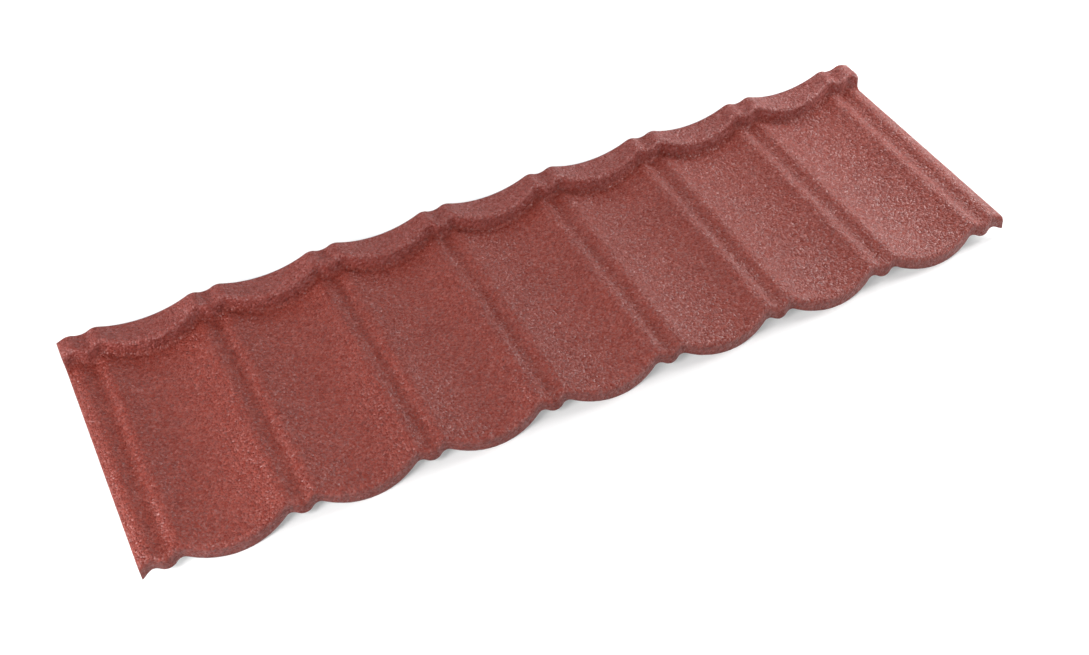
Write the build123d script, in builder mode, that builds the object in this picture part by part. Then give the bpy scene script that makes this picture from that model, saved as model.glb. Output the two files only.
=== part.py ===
from build123d import *
from math import asin, atan, atan2, cos, degrees, hypot, sin, tan
import os

# Overall sizes, in millimetres
pan_count = 7
pan_pitch = 180.0
end_lap = 35.0
panel_depth = 420.0
cover_depth = 370.0
sheet_thickness = 2.0

# Cross profile, seen from the front
pan_depth = 14.5
peak_offset = 18.8
groove_depth = 4.6
peak_radius = 12.5

# Long profile, seen from the end
press_bow = 15.5
nose_drop = 20.0
nose_lean = 2.0
riser_height = 25.0
riser_lean = 3.0
hook_clearance = 0.5
nose_bend_radius = 7.0
riser_bend_radius = 7.0

# Sizes that follow from those above
panel_length = pan_count * pan_pitch + 2 * end_lap
riser_foot = cover_depth + sheet_thickness + hook_clearance

# The press line lies in a plane that leans back, so a pan bows forward as it dips
slant_rise = hypot(press_bow, pan_depth)
slant_groove = groove_depth * slant_rise / pan_depth
half_chord = pan_pitch / 2 - peak_offset
pan_radius = (half_chord**2 + slant_rise**2) / (2 * slant_rise) - peak_radius
groove_radius = (peak_offset**2 + slant_groove**2) / (2 * slant_groove) - peak_radius
pan_angle = degrees(asin(half_chord / (pan_radius + peak_radius)))
groove_angle = degrees(asin(peak_offset / (groove_radius + peak_radius)))


def bevel_for(radius, turn):
    """Length of a bevel that touches an arc of this radius at the middle of its turn."""
    return radius * (1 / cos(turn / 2) - 1) / sin(turn / 2)


# Lying pose: the panel rests on its nose and on the underside of the riser's foot
nose_angle = atan(nose_lean / nose_drop)
nose_contact_y = sheet_thickness * cos(nose_angle)
nose_contact_z = -nose_drop - sheet_thickness * sin(nose_angle)
nose_turn = atan2(nose_drop, nose_lean)
riser_turn = atan2(riser_height, riser_lean)
foot_bevel = bevel_for(riser_bend_radius + sheet_thickness, riser_turn)
foot_contact_y = riser_foot + sheet_thickness * tan(riser_turn / 2) - foot_bevel
lying_angle = atan2(-sheet_thickness - nose_contact_z, foot_contact_y - nose_contact_y)
front_y = -nose_drop * sin(lying_angle)
back_y = panel_depth * cos(lying_angle) + (pan_depth + riser_height) * sin(lying_angle)
floor_z = nose_contact_z * cos(lying_angle) - nose_contact_y * sin(lying_angle)

lying = Plane(
    origin=(0, -(front_y + back_y) / 2, -floor_z),
    x_dir=(1, 0, 0),
    z_dir=(0, sin(lying_angle), cos(lying_angle)),
)
press_plane = Plane(
    origin=lying.origin,
    x_dir=(1, 0, 0),
    z_dir=lying.z_dir * press_bow - lying.y_dir * pan_depth,
)
sweep_start = -(pan_count + 1) * pan_pitch / 2
section_plane = Plane(
    origin=lying.origin + Vector(sweep_start, 0, 0),
    x_dir=lying.y_dir,
    z_dir=(1, 0, 0),
)

with BuildPart() as roof_panel:
    # Press line: each ridge has a groove between two peaks and half a pan on either side.
    # The arcs stay separate edges, so that no face is longer than half a pan.
    press_arcs = []
    with BuildLine(press_plane, mode=Mode.PRIVATE):
        for ridge in range(pan_count + 1):
            ridge_x = (ridge - pan_count / 2) * pan_pitch
            left_pan = (ridge_x - pan_pitch / 2, pan_radius)
            right_pan = (ridge_x + pan_pitch / 2, pan_radius)
            left_peak = (ridge_x - peak_offset, slant_rise - peak_radius)
            right_peak = (ridge_x + peak_offset, slant_rise - peak_radius)
            groove = (ridge_x, slant_rise - slant_groove + groove_radius)
            peak_angle = pan_angle + groove_angle
            for centre, radius, start, turn in (
                (left_pan, pan_radius, -90, pan_angle),
                (left_peak, peak_radius, 90 + pan_angle, -peak_angle),
                (groove, groove_radius, -90 - groove_angle, 2 * groove_angle),
                (right_peak, peak_radius, 90 + groove_angle, -peak_angle),
                (right_pan, pan_radius, -90 - pan_angle, pan_angle),
            ):
                press_arcs.append(CenterArc(centre, radius, start, turn, mode=Mode.PRIVATE))

    # Sheet section at mid-pan: nose, pan, riser and flange, one thickness throughout.
    # Each bend is round on top and has a bevel underneath.
    nose_bend = (nose_lean, 0)
    foot_bend = (riser_foot, 0)
    riser_bend = (riser_foot + riser_lean, riser_height)
    nose_bevel = bevel_for(nose_bend_radius - sheet_thickness, nose_turn)
    riser_bevel = bevel_for(riser_bend_radius - sheet_thickness, riser_turn)
    bends = (
        (nose_bend, nose_bend_radius, nose_bevel),
        (foot_bend, riser_bend_radius, foot_bevel),
        (riser_bend, riser_bend_radius, riser_bevel),
    )
    with BuildSketch(section_plane) as section:
        with BuildLine():
            flange_end = (panel_depth + 2 * press_bow, riser_height)
            Polyline((0, -nose_drop), nose_bend, foot_bend, riser_bend, flange_end)
            offset(amount=sheet_thickness, side=Side.RIGHT, kind=Kind.INTERSECTION)
        make_face()
        for corner, radius, bevel in bends:
            fillet(section.vertices().sort_by_distance(corner)[0], radius)
            chamfer(section.vertices().sort_by_distance(corner)[0], bevel)
    sweep(path=Wire(press_arcs), normal=(1, 0, 0), clean=False)

    # Straight cut along the back and square cuts at both ends
    with BuildSketch(lying):
        with Locations((0, (panel_depth - 2 * press_bow) / 2)):
            Rectangle(panel_length, panel_depth + 2 * press_bow)
    trim_reach = 2 * (pan_depth + nose_drop + riser_height)
    extrude(amount=trim_reach, both=True, mode=Mode.INTERSECT, clean=False)

roof_panel.part.label = "roof_panel"
os.makedirs("parts", exist_ok=True)
export_step(roof_panel.part, "parts/roof_panel.step")
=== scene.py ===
from math import asin, atan, atan2, ceil, cos, hypot, pi, radians, sin, tan

import bpy
from mathutils import Matrix, Vector, noise


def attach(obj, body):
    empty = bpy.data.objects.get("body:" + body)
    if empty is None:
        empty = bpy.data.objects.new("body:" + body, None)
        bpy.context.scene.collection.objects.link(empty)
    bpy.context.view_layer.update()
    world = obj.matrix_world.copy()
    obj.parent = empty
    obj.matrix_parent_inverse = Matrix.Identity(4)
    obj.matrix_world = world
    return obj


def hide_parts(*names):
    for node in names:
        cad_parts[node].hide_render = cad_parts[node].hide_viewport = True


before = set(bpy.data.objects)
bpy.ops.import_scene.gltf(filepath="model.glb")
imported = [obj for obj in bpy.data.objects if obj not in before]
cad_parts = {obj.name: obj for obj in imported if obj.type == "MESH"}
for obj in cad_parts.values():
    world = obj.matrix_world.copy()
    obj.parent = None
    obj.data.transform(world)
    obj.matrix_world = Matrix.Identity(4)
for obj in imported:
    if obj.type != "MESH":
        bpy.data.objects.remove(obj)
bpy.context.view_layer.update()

# Sizes of the panel, in metres: the same driving sizes as the CAD part
PAN_COUNT = 7
PAN_PITCH = 0.180
END_LAP = 0.035
PANEL_DEPTH = 0.420
COVER_DEPTH = 0.370
SHEET_THICKNESS = 0.002
PAN_DEPTH = 0.0145
PEAK_OFFSET = 0.0188
GROOVE_DEPTH = 0.0046
PEAK_RADIUS = 0.0125
PRESS_BOW = 0.0155
NOSE_DROP = 0.020
NOSE_LEAN = 0.002
RISER_HEIGHT = 0.025
RISER_LEAN = 0.003
HOOK_CLEARANCE = 0.0005
NOSE_BEND_RADIUS = 0.007
RISER_BEND_RADIUS = 0.007

# The coat's share of the sheet's thickness, and the bare line along the cut back edge
COAT_THICKNESS = 0.0015
BARE_LINE_WIDTH = 0.0012
BARE_LINE_DROP = 0.0005

# Mesh spacing along the press line and along the section
PAN_STEP = 0.0038
RIDGE_STEP = 0.0027
TOP_STEP = 0.0031
UNDER_STEP = 0.0160
BEND_STEPS = 6

# Unevenness of the spread stone chips: small lumps, and broader and lower ones among them
UNEVEN_HEIGHT = 0.00020
UNEVEN_SPACING = 0.0052
BROAD_SPACING_RATIO = 2.7
BROAD_HEIGHT_RATIO = 0.5
BROAD_SHIFT = Vector((7.1, 3.3, 1.9))

# Painted shade in the crease and grooves, a darker coat colour where shade falls. The crease
# at the riser's foot: how far it reaches, and how far in front of
# the corner it lies. The grooves: how far the painted shade reaches, and its share of the
# crease's.
CREASE_REACH = 0.010
CREASE_SHIFT = 0.003
GROOVE_REACH = 0.012
GROOVE_SHADE = 0.60

# Stone chips: the size of one, how domed it is, and how strongly its shape catches the light
CHIP_SIZE = 0.0028
CHIP_DOME = 0.6
CHIP_RELIEF = 0.60

# How many clumps of chips and broad shades lie in a metre
CLUMPS_PER_METRE = 150.0
SHADES_PER_METRE = 9.0

# Ragged edge between the pans and the painted shade on the nose and painted sheen on the riser
# and flange
RAGGED_PER_METRE = 60.0
RAGGED_SHARE = 0.2

# Floor, in metres, and how brightly it glows at a distance from the panel's middle
FLOOR_REACH = 30.0
FLOOR_LEVEL = 0.76
FLOOR_GLOW = ((0.6, 0.24), (1.2, 0.70), (2.4, 1.00))

# Even light from all round the floor
SKY_LEVEL = 0.07

# Camera, fitted to the photograph: metres, degrees, and millimetres for the lens and film
CAMERA_PLACE = (-0.6147, -1.2458, 1.4993)
CAMERA_YAW = 25.941
CAMERA_PITCH = 48.477
CAMERA_ROLL = -1.236
CAMERA_LENS = 46.192
CAMERA_FILM_WIDTH = 36

# Sizes that follow from those above
SLANT_RISE = hypot(PRESS_BOW, PAN_DEPTH)
RISER_FOOT = COVER_DEPTH + SHEET_THICKNESS + HOOK_CLEARANCE
CORNERS = (
    Vector((0, -NOSE_DROP)),
    Vector((NOSE_LEAN, 0)),
    Vector((RISER_FOOT, 0)),
    Vector((RISER_FOOT + RISER_LEAN, RISER_HEIGHT)),
    Vector((PANEL_DEPTH, RISER_HEIGHT)),
)

# Material slots of the sheet
COAT, PRIMER, STEEL = 0, 1, 2

# Sockets of a colour Mix node, which share their names with its number sockets
MIX_FACTOR, MIX_FIRST, MIX_SECOND, MIX_RESULT = 0, 6, 7, 2


def press_line():
    """Points (x, rise) along the panel; rise is measured up the leaning press plane."""
    slant_groove = GROOVE_DEPTH * SLANT_RISE / PAN_DEPTH
    half_chord = PAN_PITCH / 2 - PEAK_OFFSET
    pan_radius = (half_chord**2 + SLANT_RISE**2) / (2 * SLANT_RISE) - PEAK_RADIUS
    groove_radius = (PEAK_OFFSET**2 + slant_groove**2) / (2 * slant_groove) - PEAK_RADIUS
    pan_angle = asin(half_chord / (pan_radius + PEAK_RADIUS))
    groove_angle = asin(PEAK_OFFSET / (groove_radius + PEAK_RADIUS))
    end_angle = asin((PAN_PITCH / 2 - END_LAP) / pan_radius)
    peak_z = SLANT_RISE - PEAK_RADIUS
    groove_z = SLANT_RISE - slant_groove + groove_radius
    points = []

    def arc(x, z, radius, start, turn, step):
        count = ceil(abs(turn) * radius / step)
        for i in range(count):
            angle = start + turn * i / count
            points.append((x + radius * cos(angle), z + radius * sin(angle)))

    def peak(x, start):
        arc(x, peak_z, PEAK_RADIUS, pi / 2 + start, -(pan_angle + groove_angle), RIDGE_STEP)

    def pan(x, start, turn):
        arc(x, pan_radius, pan_radius, start - pi / 2, turn, PAN_STEP)

    def groove(x):
        start = -pi / 2 - groove_angle
        arc(x, groove_z, groove_radius, start, 2 * groove_angle, RIDGE_STEP)

    first_x = -PAN_COUNT / 2 * PAN_PITCH
    lap_turn = pan_angle - end_angle
    pan(first_x - PAN_PITCH / 2, end_angle, lap_turn)
    for ridge in range(PAN_COUNT + 1):
        x = first_x + ridge * PAN_PITCH
        peak(x - PEAK_OFFSET, pan_angle)
        groove(x)
        peak(x + PEAK_OFFSET, groove_angle)
        last = ridge == PAN_COUNT
        pan(x + PAN_PITCH / 2, -pan_angle, lap_turn if last else 2 * pan_angle)
    points.append((-points[0][0], points[0][1]))
    return points


def section_line(depth_below, step):
    """Section at mid-pan, a depth below the coat's top, from the nose to the cut back edge."""
    runs = [(end - start).normalized() for start, end in zip(CORNERS, CORNERS[1:])]
    sides = [Vector((run.y, -run.x)) for run in runs]
    corners = []
    for corner, before, after in zip(CORNERS, sides[:1] + sides, sides + sides[-1:]):
        middle = (before + after).normalized()
        corners.append(corner + middle * depth_below / middle.dot(before))
    radii = (
        NOSE_BEND_RADIUS - depth_below,
        RISER_BEND_RADIUS + depth_below,
        RISER_BEND_RADIUS - depth_below,
    )
    points = [corners[0]]

    def straight_to(end, nominal_length):
        start = points[-1]
        count = ceil(nominal_length / step)
        points.extend(start.lerp(end, i / count) for i in range(1, count + 1))

    for i, radius in enumerate(radii, 1):
        corner = corners[i]
        half = (pi - runs[i - 1].angle(runs[i])) / 2
        start = corner - runs[i - 1] * radius / tan(half)
        end = corner + runs[i] * radius / tan(half)
        centre = corner + (runs[i] - runs[i - 1]).normalized() * radius / sin(half)
        straight_to(start, (CORNERS[i] - CORNERS[i - 1]).length)
        for share in range(1, BEND_STEPS):
            spoke = start.lerp(end, share / BEND_STEPS) - centre
            points.append(centre + spoke.normalized() * radius)
        points.append(end)
    straight_to(corners[-1], (CORNERS[-1] - CORNERS[-2]).length)
    return points


def lying_pose():
    """Lays the section on the floor, on its nose and the underside of the riser's foot."""
    nose_angle = atan(NOSE_LEAN / NOSE_DROP)
    nose_y = SHEET_THICKNESS * cos(nose_angle)
    nose_z = -NOSE_DROP - SHEET_THICKNESS * sin(nose_angle)
    turn = atan2(RISER_HEIGHT, RISER_LEAN)
    # the CAD part has a bevel under the riser's foot, and lies on the bevel's front edge
    bevel = (RISER_BEND_RADIUS + SHEET_THICKNESS) * (1 / cos(turn / 2) - 1) / sin(turn / 2)
    foot_y = RISER_FOOT + SHEET_THICKNESS * tan(turn / 2) - bevel
    angle = atan2(-SHEET_THICKNESS - nose_z, foot_y - nose_y)
    front = -NOSE_DROP * sin(angle)
    back = PANEL_DEPTH * cos(angle) + (PAN_DEPTH + RISER_HEIGHT) * sin(angle)
    floor = nose_z * cos(angle) - nose_y * sin(angle)
    centre = Matrix.Translation((0, -(front + back) / 2, -floor))
    return centre @ Matrix.Rotation(-angle, 4, "X")


class Sheet:
    """Vertices and faces of the pressed sheet: coated top, bare underside and cut edges."""

    def __init__(self):
        self.line = press_line()
        self.pose = lying_pose()
        self.vertices = []
        self.zones = []
        self.painted_hollow_shades = []
        self.faces = []
        self.slots = []

    def vertex(self, line_point, section_point):
        x, rise = line_point
        forward = PRESS_BOW * rise / SLANT_RISE
        flange_start = RISER_FOOT + RISER_LEAN + RISER_BEND_RADIUS
        # the flange keeps its scalloped bend and ends in one straight cut
        share = (section_point.x - flange_start) / (PANEL_DEPTH - flange_start)
        forward *= 1 - max(0, share)
        up = PAN_DEPTH * rise / SLANT_RISE
        place = Vector((x, section_point.x + forward, section_point.y + up))
        self.vertices.append(self.pose @ place)
        # 0 at the nose's edge, a half on the pans, 1 on the flange: places the painted shade
        # on the nose and the painted sheen on the riser and flange
        self.zones.append(min(1, 0.5 + section_point.y / (2 * NOSE_DROP)))
        # painted shade: a darker coat colour in the crease at the riser's foot and in the
        # grooves, where shade falls
        from_foot = (section_point - CORNERS[2] + Vector((CREASE_SHIFT, 0))).length
        ridge = x / PAN_PITCH + PAN_COUNT / 2
        from_groove = abs(ridge - round(ridge)) * PAN_PITCH
        painted_groove_shade = GROOVE_SHADE * (1 - from_groove / GROOVE_REACH)
        self.painted_hollow_shades.append(max(0, 1 - from_foot / CREASE_REACH, painted_groove_shade))
        return len(self.vertices) - 1

    def rows(self, section):
        return [[self.vertex(point, place) for point in self.line] for place in section]

    def face(self, corners, slot):
        self.faces.append(corners)
        self.slots.append(slot)

    def quads(self, low, high, slot):
        """Faces between two equal runs of vertices, upwards when low is nearer the nose."""
        for i in range(len(low) - 1):
            self.face((low[i], low[i + 1], high[i + 1], high[i]), slot)

    def bridge(self, fine, coarse, slot):
        """Triangles between two runs of different spacing, along one end of the sheet."""

        def reach(index):
            place = self.vertices[index]
            return place.y + place.z

        i = j = 0
        while i < len(fine) - 1 or j < len(coarse) - 1:
            fine_left = i < len(fine) - 1
            coarse_left = j < len(coarse) - 1
            if fine_left and (not coarse_left or reach(fine[i + 1]) <= reach(coarse[j + 1])):
                self.face((coarse[j], fine[i], fine[i + 1]), slot)
                i += 1
            else:
                self.face((coarse[j + 1], coarse[j], fine[i]), slot)
                j += 1

    def build(self):
        """Makes every vertex and face, and gives the vertices of the coated top."""
        top_line = section_line(0, TOP_STEP)
        seam_line = section_line(COAT_THICKNESS, TOP_STEP)
        under_line = section_line(SHEET_THICKNESS, UNDER_STEP)
        coat_edge = top_line[-1] - Vector((BARE_LINE_WIDTH, 0))
        bare_edge = top_line[-1] - Vector((0, BARE_LINE_DROP))
        top = self.rows(top_line[:-1] + [coat_edge])
        bare = self.rows([bare_edge])[0]
        under = self.rows(under_line)
        nose_seam, back_seam = self.rows([seam_line[0], seam_line[-1]])
        for low, high in zip(top, top[1:]):
            self.quads(low, high, COAT)
        for low, high in zip(under, under[1:]):
            self.quads(high, low, PRIMER)
        self.quads(nose_seam, top[0], COAT)
        self.quads(under[0], nose_seam, STEEL)
        self.quads(top[-1], bare, STEEL)
        self.quads(bare, back_seam, STEEL)
        self.quads(back_seam, under[-1], STEEL)
        for end in (0, -1):
            inner = [self.vertex(self.line[end], place) for place in seam_line[1:-1]]
            seam_end = [nose_seam[end]] + inner + [back_seam[end]]
            top_end = [row[end] for row in top]
            under_end = [row[end] for row in under]
            first_face = len(self.faces)
            self.quads(top_end, seam_end, COAT)
            self.face((top_end[-1], bare[end], seam_end[-1]), STEEL)
            self.bridge(seam_end, under_end, STEEL)
            if end == -1:
                flipped = [corners[::-1] for corners in self.faces[first_face:]]
                self.faces[first_face:] = flipped
        return [index for row in top for index in row]


def roughen(mesh, indices):
    """Makes the coat a little thicker and thinner in patches, as spread stone chips are."""
    normals = [vertex.normal.copy() for vertex in mesh.vertices]
    for i in indices:
        place = mesh.vertices[i].co
        small = noise.noise(place / UNEVEN_SPACING)
        broad = noise.noise(place / (BROAD_SPACING_RATIO * UNEVEN_SPACING) + BROAD_SHIFT)
        height = small + BROAD_HEIGHT_RATIO * broad
        mesh.vertices[i].co = place + normals[i] * UNEVEN_HEIGHT * height


def grey(level):
    return (level, level, level)


class Nodes:
    """A material's node tree, with short ways to add nodes and link them."""

    def __init__(self, name):
        self.material = bpy.data.materials.new(name)
        self.material.use_nodes = True
        self.tree = self.material.node_tree
        self.shader = self.tree.nodes["Principled BSDF"]
        self.place = self.add("ShaderNodeTexCoord").outputs["Object"]

    def add(self, kind, **settings):
        node = self.tree.nodes.new(kind)
        for name, value in settings.items():
            setattr(node, name, value)
        return node

    def feed(self, socket, value):
        if isinstance(value, bpy.types.NodeSocket):
            self.tree.links.new(value, socket)
        else:
            socket.default_value = value

    def noise(self, per_metre, detail):
        node = self.add("ShaderNodeTexNoise")
        self.feed(node.inputs["Vector"], self.place)
        self.feed(node.inputs["Scale"], per_metre)
        self.feed(node.inputs["Detail"], detail)
        return node.outputs["Fac"]

    def vector(self, operation, first, second):
        node = self.add("ShaderNodeVectorMath", operation=operation)
        self.feed(node.inputs[0], first)
        self.feed(node.inputs["Scale"] if operation == "SCALE" else node.inputs[1], second)
        gives_number = operation in ("DOT_PRODUCT", "DISTANCE")
        return node.outputs["Value" if gives_number else "Vector"]

    def math(self, operation, first, second):
        node = self.add("ShaderNodeMath", operation=operation)
        self.feed(node.inputs[0], first)
        self.feed(node.inputs[1], second)
        return node.outputs["Value"]

    def ramp(self, value, *stops):
        """Colour that follows a value; each stop is a position from 0 to 1 and its colour."""
        node = self.add("ShaderNodeValToRGB")
        while len(node.color_ramp.elements) < len(stops):
            node.color_ramp.elements.new(0.5)
        for element, (position, colour) in zip(node.color_ramp.elements, stops):
            element.position = position
            element.color = (*colour, 1)
        self.feed(node.inputs["Fac"], value)
        return node.outputs["Color"]

    def multiply(self, first, second):
        node = self.add("ShaderNodeMix", data_type="RGBA", blend_type="MULTIPLY")
        self.feed(node.inputs[MIX_FACTOR], 1.0)
        self.feed(node.inputs[MIX_FIRST], first)
        self.feed(node.inputs[MIX_SECOND], second)
        return node.outputs[MIX_RESULT]

    def attribute(self, name):
        return self.add("ShaderNodeAttribute", attribute_name=name).outputs["Fac"]

    def bump(self, height, distance, strength):
        node = self.add("ShaderNodeBump")
        self.feed(node.inputs["Height"], height)
        self.feed(node.inputs["Distance"], distance)
        self.feed(node.inputs["Strength"], strength)
        self.feed(self.shader.inputs["Normal"], node.outputs["Normal"])


def stone_chip_coat():
    """Crushed stone bonded to the sheet: each chip has its own colour, gloss and facet;
    painted shade darkens the crease, the grooves and the nose, and painted sheen greys the
    riser and flange.
    """
    nodes = Nodes("stone_chip_coat")
    zone = nodes.attribute("zone")
    painted_hollow_shade = nodes.attribute("painted_hollow_shade")

    # One cell for each chip, and a pick of its colour, from dark to pale
    chip_place = nodes.vector("SCALE", nodes.place, 1 / CHIP_SIZE)
    chip = nodes.add("ShaderNodeTexVoronoi")
    nodes.feed(chip.inputs["Vector"], chip_place)
    nodes.feed(chip.inputs["Scale"], 1.0)
    pick = nodes.add("ShaderNodeTexWhiteNoise")
    nodes.feed(pick.inputs["Vector"], chip.outputs["Position"])
    chips = nodes.ramp(
        pick.outputs["Value"],
        (0.00, (0.172, 0.019, 0.011)),
        (0.25, (0.202, 0.027, 0.017)),
        (0.50, (0.221, 0.034, 0.022)),
        (0.75, (0.240, 0.040, 0.027)),
        (0.93, (0.262, 0.050, 0.036)),
        (1.00, (0.295, 0.070, 0.054)),
    )

    # Shades that lie over the chips: clumps, broad shades, painted shade on the nose, painted
    # sheen on the riser and flange, and painted shade in the crease and grooves
    clumps = nodes.ramp(
        nodes.noise(CLUMPS_PER_METRE, detail=2.0),
        (0.30, (0.91, 0.84, 0.83)),
        (0.70, (1.09, 1.16, 1.17)),
    )
    shades = nodes.ramp(
        nodes.noise(SHADES_PER_METRE, detail=2.0),
        (0.30, (0.96, 0.95, 0.95)),
        (0.70, (1.04, 1.05, 1.05)),
    )
    ragged_edge = nodes.noise(RAGGED_PER_METRE, detail=3.0)
    ragged = nodes.math("MULTIPLY", ragged_edge, RAGGED_SHARE)
    # painted shade, darker and greyer, on the nose; painted sheen, paler and greyer, on the
    # riser and flange
    painted_shade_and_sheen_off_pans = nodes.ramp(
        nodes.math("ADD", zone, ragged),
        (0.40, (0.77, 0.92, 1.04)),
        (0.54, grey(1.00)),
        (0.66, grey(1.00)),
        (0.86, (1.03, 1.27, 1.48)),
    )
    # painted shade, darkening the coat in the crease and grooves
    painted_shade_in_hollows = nodes.ramp(painted_hollow_shade, (0.10, grey(1.00)), (0.80, grey(0.82)))
    colour = chips
    for shade in (clumps, shades, painted_shade_and_sheen_off_pans, painted_shade_in_hollows):
        colour = nodes.multiply(colour, shade)
    nodes.feed(nodes.shader.inputs["Base Color"], colour)

    # Each chip is domed and tilted its own way
    across = nodes.vector("SUBTRACT", chip_place, chip.outputs["Position"])
    tilt = nodes.vector("SUBTRACT", chip.outputs["Color"], (0.5, 0.5, 0.5))
    facet = nodes.vector("DOT_PRODUCT", across, tilt)
    dome = nodes.math("MULTIPLY", chip.outputs["Distance"], CHIP_DOME)
    nodes.bump(nodes.math("SUBTRACT", facet, dome), CHIP_SIZE, CHIP_RELIEF)

    # Each chip has its own gloss, less in the crease and grooves, where shade is painted
    gloss_pick = nodes.add("ShaderNodeSeparateXYZ")
    nodes.feed(gloss_pick.inputs["Vector"], pick.outputs["Color"])
    gloss = nodes.ramp(
        gloss_pick.outputs["Y"],
        (0.00, grey(0.30)),
        (0.55, grey(0.49)),
        (1.00, grey(0.90)),
    )
    dull_in_hollows = nodes.ramp(painted_hollow_shade, (0.10, grey(1.00)), (0.80, grey(0.50)))
    gloss = nodes.multiply(gloss, dull_in_hollows)
    nodes.feed(nodes.shader.inputs["Specular IOR Level"], gloss)
    nodes.feed(nodes.shader.inputs["Roughness"], 0.5)
    return nodes.material


def underside_primer():
    """Thin grey primer over the zinc on the sheet's underside, faintly clouded."""
    nodes = Nodes("underside_primer")
    colour = nodes.ramp(
        nodes.noise(per_metre=14.0, detail=4.0),
        (0.30, (0.30, 0.31, 0.31)),
        (0.70, (0.37, 0.38, 0.375)),
    )
    nodes.feed(nodes.shader.inputs["Base Color"], colour)
    nodes.feed(nodes.shader.inputs["Roughness"], 0.5)
    nodes.feed(nodes.shader.inputs["Metallic"], 0.25)
    return nodes.material


def cut_steel_edge():
    """Sheared steel and resin, blue-grey, along the cut edges."""
    nodes = Nodes("cut_steel_edge")
    colour = nodes.ramp(
        nodes.noise(per_metre=400.0, detail=2.0),
        (0.30, (0.17, 0.17, 0.20)),
        (0.70, (0.30, 0.30, 0.34)),
    )
    nodes.feed(nodes.shader.inputs["Base Color"], colour)
    nodes.feed(nodes.shader.inputs["Roughness"], 0.45)
    nodes.feed(nodes.shader.inputs["Metallic"], 0.5)
    return nodes.material


def make_panel():
    """The coated sheet as one mesh, with its three materials."""
    sheet = Sheet()
    coated = sheet.build()
    mesh = bpy.data.meshes.new("stone_coated_sheet")
    mesh.from_pydata(sheet.vertices, [], sheet.faces)
    for material in (stone_chip_coat(), underside_primer(), cut_steel_edge()):
        mesh.materials.append(material)
    mesh.polygons.foreach_set("material_index", sheet.slots)
    mesh.polygons.foreach_set("use_smooth", [slot != STEEL for slot in sheet.slots])
    for name, values in (("zone", sheet.zones), ("painted_hollow_shade", sheet.painted_hollow_shades)):
        mesh.attributes.new(name, "FLOAT", "POINT").data.foreach_set("value", values)
    mesh.update()
    roughen(mesh, coated)
    mesh.update()
    panel = bpy.data.objects.new("stone_coated_sheet", mesh)
    bpy.context.scene.collection.objects.link(panel)
    return panel


def make_floor():
    """A plain pale floor that glows white far from the panel, so that no horizon shows."""
    mesh = bpy.data.meshes.new("studio_floor")
    reach = FLOOR_REACH
    corners = [(-reach, -reach, 0), (reach, -reach, 0), (reach, reach, 0), (-reach, reach, 0)]
    mesh.from_pydata(corners, [], [(0, 1, 2, 3)])
    nodes = Nodes("studio_floor")
    nodes.feed(nodes.shader.inputs["Base Color"], (*grey(FLOOR_LEVEL), 1))
    distance = nodes.vector("DISTANCE", nodes.place, (0, 0, 0))
    stops = [(metres / reach, grey(level)) for metres, level in FLOOR_GLOW]
    glow = nodes.ramp(nodes.math("DIVIDE", distance, reach), *stops)
    nodes.feed(nodes.shader.inputs["Emission Color"], glow)
    nodes.feed(nodes.shader.inputs["Emission Strength"], 1.0)
    nodes.feed(nodes.shader.inputs["Roughness"], 0.9)
    nodes.feed(nodes.shader.inputs["Specular IOR Level"], 0.1)
    mesh.materials.append(nodes.material)
    floor = bpy.data.objects.new("studio_floor", mesh)
    bpy.context.scene.collection.objects.link(floor)
    return floor


def soft_box(name, place, target, size, power, height=None):
    """A soft lamp, square unless it is given a height, that is turned towards its target."""
    lamp = bpy.data.lights.new(name, "AREA")
    lamp.size = size
    if height:
        lamp.shape = "RECTANGLE"
        lamp.size_y = height
    lamp.energy = power
    light = bpy.data.objects.new(name, lamp)
    light.location = place
    light.rotation_euler = (Vector(target) - Vector(place)).to_track_quat("-Z", "Y").to_euler()
    bpy.context.scene.collection.objects.link(light)


def make_lights():
    """Large soft boxes far off light the whole panel; the near ones light its ends."""
    middle, left_half, right_half = (0, 0, 0), (-0.4, 0, 0), (0.4, 0, 0)
    soft_box("left_box", (-3.10, 0.0, 0.85), middle, size=1.3, power=65)
    soft_box("left_near_box", (-1.6, -0.6, 1.1), left_half, size=0.8, power=28)
    soft_box("right_front_box", (2.21, -2.21, 0.67), middle, size=1.3, power=43)
    soft_box("right_near_box", (1.7, 0.2, 0.9), right_half, size=0.7, power=29)
    soft_box("right_back_box", (1.6, 1.1, 1.1), right_half, size=0.8, power=8)
    soft_box("back_box", (0.0, 1.5, 0.8), middle, size=2.4, power=7, height=0.6)


def soft_sky(strength):
    world = bpy.data.worlds.new("studio")
    world.use_nodes = True
    background = world.node_tree.nodes["Background"]
    background.inputs["Color"].default_value = (*grey(1), 1)
    background.inputs["Strength"].default_value = strength
    bpy.context.scene.world = world


def make_camera():
    data = bpy.data.cameras.new("camera")
    data.lens = CAMERA_LENS
    data.sensor_width = CAMERA_FILM_WIDTH
    camera = bpy.data.objects.new("camera", data)
    turn = Matrix.Rotation(radians(-CAMERA_YAW), 4, "Z")
    turn @= Matrix.Rotation(radians(90 - CAMERA_PITCH), 4, "X")
    turn @= Matrix.Rotation(radians(CAMERA_ROLL), 4, "Z")
    camera.matrix_world = Matrix.Translation(CAMERA_PLACE) @ turn
    bpy.context.scene.collection.objects.link(camera)
    bpy.context.scene.camera = camera


# The panel
panel = make_panel()
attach(panel, "root")
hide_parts("roof_panel")

# The studio
make_floor()
soft_sky(SKY_LEVEL)
make_lights()
make_camera()
bpy.context.scene.view_settings.view_transform = "Standard"
